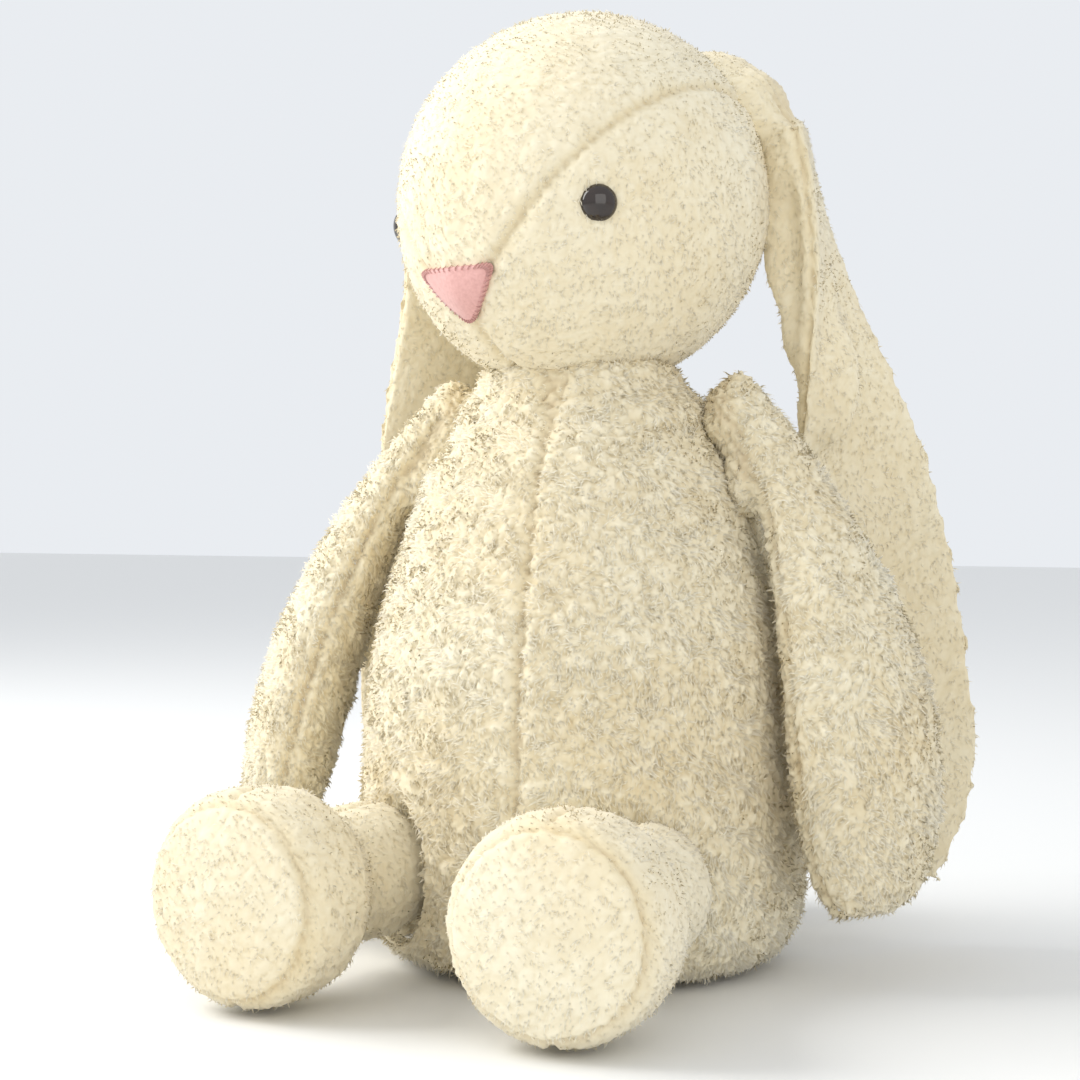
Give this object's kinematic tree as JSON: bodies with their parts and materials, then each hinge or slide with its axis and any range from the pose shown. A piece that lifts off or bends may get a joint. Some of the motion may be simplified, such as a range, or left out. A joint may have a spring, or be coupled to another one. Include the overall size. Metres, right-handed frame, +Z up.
{
  "type": "stuffed bunny rabbit",
  "caption": "Seated plush bunny with long lop ears, pear-shaped body, hanging arms and round-soled feet; the head, ears, arms and legs turn.",
  "frame": {"origin": "middle of the flat seat under the body", "axes": "+Z up through the body and head, the bunny faces -Y, its left is +X"},
  "size_m": [0.3441, 0.3417, 0.4289],
  "materials": {
    "pile_fabric": "matte",
    "fill": "matte",
    "bag_cloth": "matte",
    "nose_felt": "matte",
    "eye_plastic": "gloss",
    "washer_plastic": "satin",
    "label_satin": "satin"
  },
  "bodies": {
    "torso": {"body_front_left_panel": "pile_fabric", "body_front_right_panel": "pile_fabric", "body_back_left_panel": "pile_fabric", "body_back_right_panel": "pile_fabric", "seat_panel": "pile_fabric", "body_stuffing": "fill", "pellet_bag": "bag_cloth", "tail_pompom": "pile_fabric", "care_label": "label_satin"},
    "head": {"head_left_panel": "pile_fabric", "head_right_panel": "pile_fabric", "head_gusset": "pile_fabric", "head_stuffing": "fill", "nose_patch": "nose_felt", "left_eye": "eye_plastic", "right_eye": "eye_plastic", "left_eye_washer": "washer_plastic", "right_eye_washer": "washer_plastic"},
    "left_ear": {"left_ear_outer_panel": "pile_fabric", "left_ear_lining_panel": "pile_fabric"},
    "right_ear": {"right_ear_outer_panel": "pile_fabric", "right_ear_lining_panel": "pile_fabric"},
    "left_arm": {"left_arm_outer_panel": "pile_fabric", "left_arm_inner_panel": "pile_fabric", "left_arm_stuffing": "fill"},
    "left_leg": {"left_leg_outer_panel": "pile_fabric", "left_leg_inner_panel": "pile_fabric", "left_leg_sole": "pile_fabric", "left_leg_stuffing": "fill"},
    "right_arm": {"right_arm_outer_panel": "pile_fabric", "right_arm_inner_panel": "pile_fabric", "right_arm_stuffing": "fill"},
    "right_leg": {"right_leg_outer_panel": "pile_fabric", "right_leg_inner_panel": "pile_fabric", "right_leg_sole": "pile_fabric", "right_leg_stuffing": "fill"}
  },
  "joints": [
    {"name": "head_nod", "type": "hinge", "parent": "torso", "child": "head", "pos_m": [0, 0, 0.256], "axis": [0.9563, -0.2924, 0], "range_deg": [0, 16]},
    {"name": "left_ear_lift", "type": "hinge", "parent": "head", "child": "left_ear", "pos_m": [0.088, 0.036, 0.378], "axis": [0.342, -0.9397, 0], "range_deg": [0, 90]},
    {"name": "right_ear_lift", "type": "hinge", "parent": "head", "child": "right_ear", "pos_m": [-0.089, 0.044, 0.378], "axis": [0.6428, 0.766, 0], "range_deg": [0, 90]},
    {"name": "left_shoulder_swing", "type": "hinge", "parent": "torso", "child": "left_arm", "pos_m": [0.0716, 0.008, 0.258], "axis": [-0.9659, -0.2588, 0], "range_deg": [0, 95]},
    {"name": "right_shoulder_swing", "type": "hinge", "parent": "torso", "child": "right_arm", "pos_m": [-0.0716, 0.008, 0.258], "axis": [-0.9659, 0.2588, 0], "range_deg": [0, 95]},
    {"name": "left_hip_lift", "type": "hinge", "parent": "torso", "child": "left_leg", "pos_m": [0.065, -0.07984, 0.047], "axis": [-1, 0, 0], "range_deg": [0, 24]},
    {"name": "right_hip_lift", "type": "hinge", "parent": "torso", "child": "right_leg", "pos_m": [-0.065, -0.07984, 0.047], "axis": [-1, 0, 0], "range_deg": [0, 24]}
  ]
}
